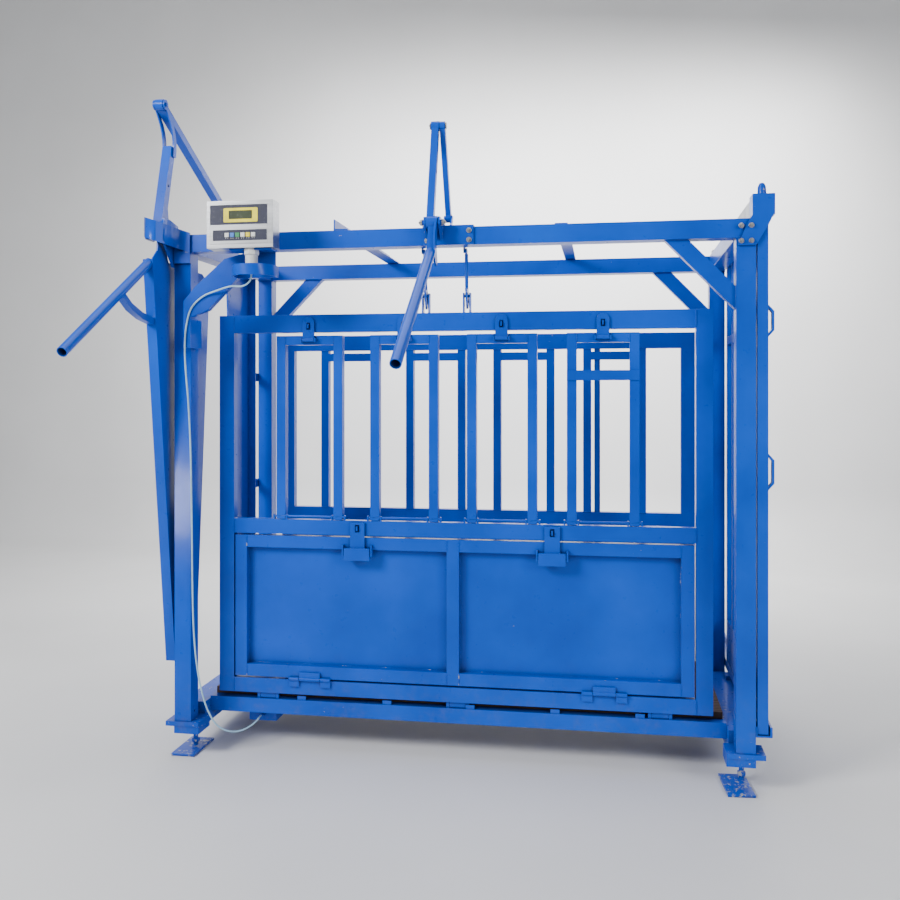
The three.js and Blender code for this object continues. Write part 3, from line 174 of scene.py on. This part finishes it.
def paint(name, wear, coat=0.1):
    """Glossy brushed-on enamel: colour drift, brush marks, dust, painted shade in corners, and chips that grow with
    wear.
    """
    g = Graph(name)
    g.set(IOR=1.45, Specular_IOR_Level=0.22, Coat_Weight=coat, Coat_Roughness=0.12)
    drift = g.noise(2.6, 4)
    colour = g.ramp(drift, [(0.3, BLUE_DEEP), (0.52, BLUE), (0.75, BLUE_PALE)])
    dust = g.mask(g.noise(7, 8, 0.65), 0.56, 0.82)
    dust = g.maths("MULTIPLY", dust, 0.05)
    colour = g.mix(dust, colour, (0.10, 0.22, 0.50))
    # Painted shade: ambient occlusion darkens the blue toward navy in corners and crevices, where shade falls.
    corners = g.add("ShaderNodeAmbientOcclusion", samples=4)
    corners.inputs["Distance"].default_value = 0.07
    corner_shade = g.maths("MULTIPLY", g.mask(corners.outputs["AO"], 0.78, 0.25), 0.75)
    colour = g.mix(corner_shade, colour, (0.0, 0.014, 0.09))
    low = g.mask(g.height(), 0.42, 0.02)
    splash = g.mask(g.noise(19, 8, 0.7), 0.48, 0.70)
    soiled = g.maths("MULTIPLY", g.maths("MULTIPLY", low, splash), 0.3)
    colour = g.mix(soiled, colour, (0.17, 0.15, 0.13))
    chips = g.mask(g.noise(70, 6, 0.6), 0.70 - 0.07 * wear, 0.715 - 0.07 * wear)
    patch = g.mask(g.noise(9, 3, 0.5), 0.60 - 0.10 * wear, 0.66 - 0.10 * wear)
    bare = g.maths("MULTIPLY", chips, patch)
    colour = g.mix(bare, colour, (0.36, 0.36, 0.37))
    g.link(colour, g.bsdf.inputs["Base Color"])
    g.roughness(g.noise(34, 5, 0.6), 0.20, 0.42)
    brush = g.noise(60, 4, 0.55, g.stretched((1.0, 1.0, 0.16)))
    peel = g.noise(240, 2, 0.5)
    surface = g.maths("ADD", g.maths("MULTIPLY", brush, 0.7), g.maths("MULTIPLY", peel, 0.3))
    surface = g.maths("SUBTRACT", surface, g.maths("MULTIPLY", bare, 0.4))
    g.bump(surface, 0.16, 0.0012)
    return g.material


def metal(name, dark, light, low, high, grain, stretch, rust=0.0):
    """Bare metal with fine brush marks, and rust stains where rust is above 0."""
    g = Graph(name)
    g.set(Metallic=1.0)
    colour = g.ramp(g.noise(grain, 6, 0.6, g.stretched(stretch)), [(0.3, dark), (0.7, light)])
    if rust:
        stain = g.mask(g.noise(26, 8, 0.7), 0.62 - rust, 0.74 - rust)
        colour = g.mix(g.maths("MULTIPLY", stain, 0.6), colour, (0.16, 0.075, 0.03))
    g.link(colour, g.bsdf.inputs["Base Color"])
    g.roughness(g.noise(grain * 0.6, 5, 0.6, g.stretched(stretch)), low, high)
    g.bump(g.noise(grain * 2, 4, 0.6, g.stretched(stretch)), 0.12, 0.0006)
    return g.material


def zinc(name):
    """Hot-dip galvanising: crystal spangle with dull runs."""
    g = Graph(name)
    g.set(Metallic=0.85)
    cells = g.add("ShaderNodeTexVoronoi", Scale=46.0)
    g.link(g.place, cells.inputs["Vector"])
    tone = g.add("ShaderNodeSeparateColor")
    g.link(cells.outputs["Color"], tone.inputs[0])
    colour = g.ramp(tone.outputs[0], [(0.0, (0.34, 0.36, 0.39)), (1.0, (0.52, 0.54, 0.57))])
    g.link(colour, g.bsdf.inputs["Base Color"])
    g.roughness(tone.outputs[0], 0.36, 0.56)
    g.bump(g.noise(60, 4), 0.15, 0.0008)
    return g.material


def wood(name):
    """Rough planks: dark grain along X, with dried mud over it."""
    g = Graph(name)
    rings = g.add("ShaderNodeTexWave", bands_direction="Y", Scale=16.0, Distortion=4.0, Detail=4.0)
    g.link(g.stretched((0.05, 1.0, 1.0)), rings.inputs["Vector"])
    grain = g.maths("ADD", g.maths("MULTIPLY", rings.outputs["Fac"], 0.5),
                    g.maths("MULTIPLY", g.noise(60, 8, 0.7, g.stretched((0.03, 1.0, 1.0))), 0.6))
    colour = g.ramp(grain, [(0.2, (0.06, 0.032, 0.016)), (0.55, (0.15, 0.09, 0.048)), (0.9, (0.25, 0.17, 0.10))])
    mud = g.mask(g.noise(5, 8, 0.7), 0.5, 0.72)
    colour = g.mix(g.maths("MULTIPLY", mud, 0.55), colour, (0.11, 0.08, 0.05))
    g.link(colour, g.bsdf.inputs["Base Color"])
    g.roughness(grain, 0.7, 0.95)
    g.bump(grain, 0.5, 0.0015)
    return g.material


DRIFT = 0.12  # how far a plastic's tone wanders either way, as a share of its colour


def plastic(name, colour, low=0.35, high=0.5, coat=0.0, bump=0.06):
    g = Graph(name)
    g.set(Coat_Weight=coat)
    dark = tuple(c * (1 - DRIFT) for c in colour)
    pale = tuple(min(1.0, c * (1 + DRIFT)) for c in colour)
    base = g.ramp(g.noise(30, 4), [(0.3, dark), (0.7, pale)])
    dust = g.maths("MULTIPLY", g.mask(g.noise(60, 6, 0.7), 0.55, 0.8), 0.15)
    g.link(g.mix(dust, base, (0.4, 0.38, 0.35)), g.bsdf.inputs["Base Color"])
    g.roughness(g.noise(90, 4), low, high)
    g.bump(g.noise(900, 2), bump, 0.0003)
    return g.material


PAINT = paint("blue_enamel", 0.0)
PAINT_WORN = paint("blue_enamel_worn", 1.0)
PAINT_EDGE = paint("blue_enamel_edge", 0.85, 0.7)
PAINT_FOOT = paint("blue_enamel_foot", 1.9)
STEEL = metal("brushed_stainless", (0.34, 0.35, 0.37), (0.50, 0.51, 0.53), 0.24, 0.40, 90, (0.05, 1.0, 1.0))
CELL = metal("machined_steel", (0.30, 0.30, 0.31), (0.50, 0.50, 0.51), 0.3, 0.5, 120, (1.0, 0.1, 1.0), rust=0.02)
BOLT = metal("zinc_bolt", (0.30, 0.30, 0.30), (0.52, 0.52, 0.50), 0.3, 0.55, 180, (1.0, 1.0, 1.0), rust=0.05)
ZINC = zinc("galvanised")
WOOD = wood("rough_deck_wood")
NAVY = plastic("navy_film", (0.004, 0.007, 0.035), 0.45, 0.6)
DISPLAY = plastic("display_window", (0.060, 0.075, 0.045), 0.12, 0.2, 0.5)
WHITE = plastic("white_key", (0.74, 0.75, 0.74))
BLUE_KEY = plastic("blue_key", (0.015, 0.16, 0.60))
GREEN_KEY = plastic("green_key", (0.01, 0.26, 0.08))
YELLOW_KEY = plastic("yellow_key", (0.84, 0.68, 0.01))
YELLOW = plastic("yellow_bezel", (0.90, 0.76, 0.005), 0.45, 0.6)
CABLE = plastic("pale_cable_sheath", (0.36, 0.58, 0.72), 0.35, 0.5, 0.0, 0.08)
BLACK = plastic("black_rubber", (0.02, 0.02, 0.022), 0.5, 0.7)
SLOT_MATERIAL = {
    "blue_paint": PAINT, "cell_steel": CELL, "galvanised": ZINC, "deck_wood": WOOD, "stainless": STEEL,
    "navy_panel": NAVY, "display_glass": DISPLAY, "white_plastic": WHITE, "cable_sheath": CABLE,
    "blue_plastic": BLUE_KEY, "green_plastic": GREEN_KEY, "yellow_plastic": YELLOW_KEY,
}
WORN = ("load_bar_", "squeeze_rod", "tail_lock_pin")

# ---- The CAD nodes: softened edges and their finish -------------------------------------------------
SLOTS = {p["node"]: p["material_slot"] for p in frame["record"]["subparts"]}
EDGE_WIDTH = 0.0016
FINE = ("indicator_", "key_")
for name, node in frame["nodes"].items():
    slot = SLOTS[name]
    base = SLOT_MATERIAL[slot]
    edge = base
    if slot == "blue_paint":
        base = PAINT_FOOT if name.startswith("foot_") else PAINT_WORN if name.startswith(WORN) else PAINT
        edge = PAINT_EDGE if base is PAINT else base
    node.data.materials.clear()
    node.data.materials.append(base)
    node.data.materials.append(edge)
    for polygon in node.data.polygons:
        polygon.material_index = 0
        polygon.use_smooth = True
    weld = node.modifiers.new("weld", "WELD")
    weld.merge_threshold = 0.00002
    if name == "indicator_cable":
        continue
    bevel = node.modifiers.new("bevel", "BEVEL")
    bevel.width = 0.0004 if name.startswith(FINE) else EDGE_WIDTH
    bevel.segments = 2
    bevel.limit_method = "ANGLE"
    bevel.angle_limit = math.radians(35)
    bevel.material = 1
    bevel.harden_normals = False
    normals = node.modifiers.new("normals", "WEIGHTED_NORMAL")
    normals.keep_sharp = False


# ---- Piece helpers --------------------------------------------------------------------------------
def piece(name, mesh, body, slot, *materials):
    for material in materials:
        mesh.materials.append(material)
    o = bpy.data.objects.new(name, mesh)
    bpy.context.scene.collection.objects.link(o)
    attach(o, body)
    return o


def mesh_of(bm, smooth=True):
    mesh = bpy.data.meshes.new("mesh")
    bmesh.ops.recalc_face_normals(bm, faces=bm.faces)
    for face in bm.faces:
        face.smooth = smooth
    bm.to_mesh(mesh)
    bm.free()
    return mesh


def sides_of(direction):
    """Two unit vectors square to a direction and to each other."""
    up = Vector((0, 0, 1)) if abs(direction.z) < 0.9 else Vector((1, 0, 0))
    first = direction.cross(up).normalized()
    return first, direction.cross(first).normalized()


def tube_rings(bm, rings):
    """Closes a row of vertex rings into a capped tube."""
    n = len(rings[0])
    for a, b in zip(rings, rings[1:]):
        for i in range(n):
            bm.faces.new((a[i], a[(i + 1) % n], b[(i + 1) % n], b[i]))
    bm.faces.new(list(reversed(rings[0])))
    bm.faces.new(rings[-1])


RIPPLE = 5.0


def bead(bm, a, b, radius):
    """A weld bead between two drawing points: a low rounded run with a ripple every 5 mm."""
    start, end = at(*a), at(*b)
    run = end - start
    first, second = sides_of(run.normalized())
    steps = max(3, round(run.length * 1000 / RIPPLE)) * 2
    rings = []
    for i in range(steps + 1):
        t = i / steps
        swell = 1.0 if i % 2 else 0.78
        taper = 0.45 if i in (0, steps) else 1.0
        r = radius / 1000 * swell * taper * random.uniform(0.88, 1.1)
        middle = start + run * t + first * random.uniform(-0.0006, 0.0006)
        rings.append([bm.verts.new(middle + first * r * math.cos(k * math.pi / 4)
                                   + second * r * math.sin(k * math.pi / 4))
                      for k in range(8)])
    tube_rings(bm, rings)


def lathe(bm, start, axis, profile, sides=20, turn=0.0):
    """A round piece from a profile of (distance along, radius) in millimetres; start is a drawing point."""
    origin, axis = at(*start), Vector(axis).normalized()
    first, second = sides_of(axis)
    rings = []
    for along, radius in profile:
        rings.append([bm.verts.new(origin + axis * along / 1000
                                   + (first * math.cos(turn + k * 2 * math.pi / sides)
                                      + second * math.sin(turn + k * 2 * math.pi / sides)) * radius / 1000)
                      for k in range(sides)])
    tube_rings(bm, rings)


def hex_bolt(bm, start, axis, across):
    """A washer, a chamfered hexagon head and the rounded end of the thread."""
    lathe(bm, start, axis, [(0, across * 0.62), (0.2, across * 0.66), (1.6, across * 0.66), (2.0, across * 0.62)])
    radius = across / math.sqrt(3)
    head = [(1.6, radius * 0.95), (2.4, radius), (8.4, radius), (10.0, radius * 0.88)]
    lathe(bm, start, axis, head, 6, random.uniform(0, 1))
    lathe(bm, start, axis, [(9.6, across * 0.27), (13.0, across * 0.27), (14.6, across * 0.2)], 12)


def split_pin(bm, centre, axis, reach):
    """A cotter pin's two legs through a pin's end."""
    for side in (-1, 1):
        start = [c - a * reach * 0.5 for c, a in zip(centre, axis)]
        start[0] += side * 1.4
        lathe(bm, start, axis, [(0, 1.1), (0.5, 1.6), (reach, 1.6), (reach + 0.6, 1.1)], 8)


# ---- Cable ----------------------------------------------------------------------------------------
GLAND_X, GLAND_Y = -747, -660
ROUTE = [
    (GLAND_X, GLAND_Y, 1964.6), (GLAND_X, GLAND_Y, 1935), (GLAND_X - 8, GLAND_Y + 2, 1905),
    (-785, -644, 1888), (-850, -616, 1890), (-915, -592, 1878), (-980, -582, 1856),
    (-1028, -580, 1812), (-1050, -580, 1740), (-1056, -580, 1660), (-1057, -572, 1580),
    (-1056, -550, 1450), (-1055, -532, 1280), (-1054, -524, 1080), (-1053, -520, 880),
    (-1052, -518, 700), (-1049, -515, 540), (-1041, -508, 400), (-1026, -497, 285),
    (-1003, -482, 190), (-972, -462, 124), (-935, -434, 92), (-900, -398, 82),
    (-870, -356, 90), (-854, -320, 103), (-850, -300, 112), (-850, -284.4, 112),
]
CABLE_DIAMETER = 0.007
# The strain relief's ribs: distance down from the case's gland, and radius, in millimetres.
RELIEF = [
    (0, 8.0), (1, 8.8), (5, 8.8), (6, 7.6), (12, 7.2), (13, 6.2),
    (20, 6.0), (21, 5.2), (28, 4.9), (29, 4.3), (34, 4.0),
]


def smooth_path(points, per=8):
    """A centripetal Catmull-Rom curve through the points, with its ends carried straight on."""
    ends = [points[0] * 2 - points[1], *points, points[-1] * 2 - points[-2]]
    path = []
    for i in range(1, len(ends) - 2):
        p0, p1, p2, p3 = ends[i - 1:i + 3]
        t1 = (p1 - p0).length ** 0.5
        t2 = t1 + (p2 - p1).length ** 0.5
        t3 = t2 + (p3 - p2).length ** 0.5
        for k in range(per):
            t = t1 + (t2 - t1) * k / per
            a1 = p0 * ((t1 - t) / t1) + p1 * (t / t1)
            a2 = p1 * ((t2 - t) / (t2 - t1)) + p2 * ((t - t1) / (t2 - t1))
            a3 = p2 * ((t3 - t) / (t3 - t2)) + p3 * ((t - t2) / (t3 - t2))
            b1 = a1 * ((t2 - t) / t2) + a2 * (t / t2)
            b2 = a2 * ((t3 - t) / (t3 - t1)) + a3 * ((t - t1) / (t3 - t1))
            path.append(b1 * ((t2 - t) / (t2 - t1)) + b2 * ((t - t1) / (t2 - t1)))
    return [*path, points[-1].copy()]


def cable():
    path = smooth_path([at(*p) for p in ROUTE])
    curve = bpy.data.curves.new("cable", "CURVE")
    curve.dimensions = "3D"
    curve.bevel_depth = CABLE_DIAMETER / 2
    curve.bevel_resolution = 3
    curve.use_fill_caps = True
    spline = curve.splines.new("POLY")
    spline.points.add(len(path) - 1)
    for point, p in zip(spline.points, path):
        point.co = (*p, 1)
    spline.use_smooth = True
    o = piece("cable", curve, "base", "cable_sheath", CABLE)
    bm = bmesh.new()
    lathe(bm, (GLAND_X, GLAND_Y, 1966), (0, 0, -1), RELIEF, 20)
    relief = piece("strain_relief", mesh_of(bm), "base", "white_plastic", BLACK)
    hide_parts("indicator_cable")


cable()

# ---- Details --------------------------------------------------------------------------------------
POST_X, POST_Y, HALF = 1100, 470, 35
RAIL_BOTTOM, BRACE_Z = 2046, (1782, 1868)
SIDE_FACE = -345
GATE_CENTRES = (-620, -220, 180, 580)


def welds(name, body, runs, radius=3.4, finish=PAINT):
    bm = bmesh.new()
    for a, b in runs:
        bead(bm, a, b, radius)
    return piece(name, mesh_of(bm), body, "blue_paint", finish)


def around_post(x, y, z):
    """Four runs round a square post, below the rail that it carries."""
    x0, x1, y0, y1 = x - HALF, x + HALF, y - HALF, y + HALF
    return [((x0, y0, z), (x1, y0, z)), ((x1, y0, z), (x1, y1, z)),
            ((x1, y1, z), (x0, y1, z)), ((x0, y1, z), (x0, y0, z))]


def frame_welds():
    runs = []
    for x in (-POST_X, POST_X):
        for y in (-POST_Y, POST_Y):
            runs += around_post(x, y, RAIL_BOTTOM)
    for end, side in ((1, -1), (-1, 1), (1, 1)):
        inner = end * (POST_X - HALF)
        for face in (side * POST_Y - 20, side * POST_Y + 20):
            runs.append(((inner, face, BRACE_Z[0]), (inner, face, BRACE_Z[1])))
            runs.append(((inner - end * 172, face, RAIL_BOTTOM), (inner - end * 258, face, RAIL_BOTTOM)))
    for centre in (-660, -230, 200, 630):
        for x in (centre - 128, centre + 128):
            for z in (915, 1690):
                runs.append(((x - 18, 435, z), (x + 18, 435, z)))
    return welds("frame_welds", "base", runs)


def side_welds():
    runs = []
    for x in (-946, 936):
        for z0, z1 in ((228, 288), (892, 952), (1727, 1800)):
            runs.append(((x, SIDE_FACE, z0 + 3), (x, SIDE_FACE, z1 - 3)))
            runs.append(((x, SIDE_FACE + 40, z0 + 3), (x, SIDE_FACE + 40, z1 - 3)))
    return welds("side_welds", "squeeze_side", runs)


def gate_welds():
    for i, centre in enumerate(GATE_CENTRES, 1):
        runs = []
        for x in (centre - 122, centre + 122):
            inner = x + 19 if x < centre else x - 19
            for face in (SIDE_FACE + 2, SIDE_FACE + 40):
                runs.append(((inner, face, 1676), (inner, face, 1712)))
        welds(f"gate_welds_{i}", f"drop_gate_{i}", runs, 2.8)


def door_welds():
    runs = []
    x_edges = ((-890, -43), (7, 880))
    for x0, x1 in x_edges:
        for z in (346, 834):
            steps = 5
            for k in range(steps):
                x = x0 + (x1 - x0) * (k + 0.5) / steps
                runs.append(((x - 21, -312, z), (x + 21, -312, z)))
        for x in (x0, x1):
            for z in (430, 590, 750):
                runs.append(((x, -312, z - 21), (x, -312, z + 21)))
        for x in (x0, x1):
            for z in (298, 836):
                runs.append(((x, SIDE_FACE, z), (x, SIDE_FACE, z + 46)))
    return welds("door_welds", "side_door", runs, 2.6, PAINT_FOOT)


def frame_bolts():
    bm = bmesh.new()
    for x in (-92, 72):
        for z in (2064, 2100):
            hex_bolt(bm, (x, -512, z), (0, -1, 0), 16)
            hex_bolt(bm, (x, -428, z), (0, 1, 0), 16)
    for x in (1082, 1118):
        for z in (2032, 2088):
            hex_bolt(bm, (x, -517, z), (0, -1, 0), 15)
    hex_bolt(bm, (-100, -560, 2125), (-1, 0, 0), 20)
    hex_bolt(bm, (-24, -560, 2125), (1, 0, 0), 20)
    hex_bolt(bm, (-1222, -565, 2130), (-1, 0, 0), 22)
    return piece("frame_bolts", mesh_of(bm, False), "base", "cell_steel", BOLT)


def lever_pins():
    bm = bmesh.new()
    lathe(bm, (-88, -446, 2525), (-1, 0, 0), [(0, 12), (0.4, 13), (3.6, 13), (4, 12)], 20)
    lathe(bm, (-29, -446, 2525), (1, 0, 0), [(0, 12), (0.4, 13), (2.6, 13), (3, 12)], 20)
    split_pin(bm, (-92, -446, 2525), (0, 1, 0), 26)
    return piece("lever_pins", mesh_of(bm), "squeeze_lever", "cell_steel", BOLT)


frame_welds()
side_welds()
gate_welds()
door_welds()
frame_bolts()
lever_pins()


def rounded(x0, x1, z0, z1, r):
    """The corners of a rounded rectangle in X and Z, anticlockwise."""
    points = []
    for cx, cz, start in ((x1 - r, z1 - r, 0), (x0 + r, z1 - r, 90), (x0 + r, z0 + r, 180), (x1 - r, z0 + r, 270)):
        for k in range(5):
            a = math.radians(start + k * 22.5)
            points.append((cx + r * math.cos(a), cz + r * math.sin(a)))
    return points


def panel_ring(name, outer, inner, y, depth, material, slot):
    """A thin rounded frame that faces the operator: outer and inner are lists of X, Z corners."""
    bm = bmesh.new()
    loops = [[bm.verts.new(at(x, v, z)) for x, z in loop] for loop, v in
             ((outer, y), (outer, y - depth), (inner, y - depth), (inner, y))]
    n = len(outer)
    for a, b in zip(loops, loops[1:] + loops[:1]):
        for i in range(n):
            bm.faces.new((a[i], a[(i + 1) % n], b[(i + 1) % n], b[i]))
    return piece(name, mesh_of(bm, False), "base", slot, material)


def indicator_trim():
    low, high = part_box("indicator_panel")
    face = low.y * 1000 - SHIFT[1]
    panel_ring("display_bezel", rounded(-844, -708, 2123, 2177, 5), rounded(-823, -730, 2135, 2167, 2),
               face - 0.1, 1.0, YELLOW, "yellow_plastic")
    panel_ring("key_strip_surround", rounded(low.x * 1000 - SHIFT[0] + 0.3, high.x * 1000 - SHIFT[0] - 0.3,
                                             low.z * 1000 + 0.3, 2114, 1),
               rounded(-887, -671, 2053, 2094, 3), face - 0.1, 1.2, STEEL, "stainless")
    bm = bmesh.new()
    for i in range(6):
        x = -831 + 21 * i
        lathe(bm, (x - 4, face - 0.05, 2062.5), (0, -1, 0), [(0, 1.3), (0.5, 1.3), (0.6, 1.0)], 10)
        lathe(bm, (x + 4, face - 0.05, 2062.5), (0, -1, 0), [(0, 1.3), (0.5, 1.3), (0.6, 1.0)], 10)
    piece("key_marks", mesh_of(bm), "base", "white_plastic", WHITE)


indicator_trim()

# ---- Studio ---------------------------------------------------------------------------------------
def stage_material():
    g = Graph("studio_grey")
    g.set(Roughness=0.55)
    g.link(g.ramp(g.noise(0.8, 3), [(0.3, (0.70, 0.70, 0.70)), (0.7, (0.76, 0.76, 0.76))]), g.bsdf.inputs["Base Color"])
    return g.material


def backdrop():
    """A floor that curves up into a wall behind the object."""
    bm = bmesh.new()
    profile = [(-9.0, 0.0), (4.6, 0.0)]
    profile += [(4.6 + 0.6 * math.sin(a), 0.6 - 0.6 * math.cos(a)) for a in [i * math.pi / 16 for i in range(1, 9)]]
    profile += [(5.2, 8.0)]
    rows = [[bm.verts.new((x, y, z)) for y, z in profile] for x in (-12.0, 12.0)]
    for i in range(len(profile) - 1):
        bm.faces.new((rows[0][i], rows[1][i], rows[1][i + 1], rows[0][i + 1]))
    mesh = mesh_of(bm)
    mesh.materials.append(stage_material())
    o = bpy.data.objects.new("backdrop", mesh)
    bpy.context.scene.collection.objects.link(o)


def soft_light(name, place, target, size, power):
    light = bpy.data.lights.new(name, "AREA")
    light.shape = "RECTANGLE"
    light.size, light.size_y = size
    light.energy = power
    o = bpy.data.objects.new(name, light)
    o.location = place
    o.rotation_euler = (Vector(target) - Vector(place)).to_track_quat("-Z", "Y").to_euler()
    bpy.context.scene.collection.objects.link(o)


backdrop()
soft_light("key", (-3.9, -4.4, 4.2), (0, 0, 1.0), (2.2, 1.8), 430)
soft_light("fill", (4.4, -4.4, 3.0), (0, 0, 1.1), (2.2, 2.2), 150)
soft_light("top", (0, 0.6, 5.2), (0, 0.2, 0), (4.5, 3.5), 150)
soft_light("back", (0.2, 3.4, 3.6), (0, 5.2, 1.6), (5.0, 2.4), 330)
world = bpy.data.worlds.new("studio")
bpy.context.scene.world = world
world.use_nodes = True
world.node_tree.nodes["Background"].inputs["Color"].default_value = (0.86, 0.89, 0.93, 1)
world.node_tree.nodes["Background"].inputs["Strength"].default_value = 0.27
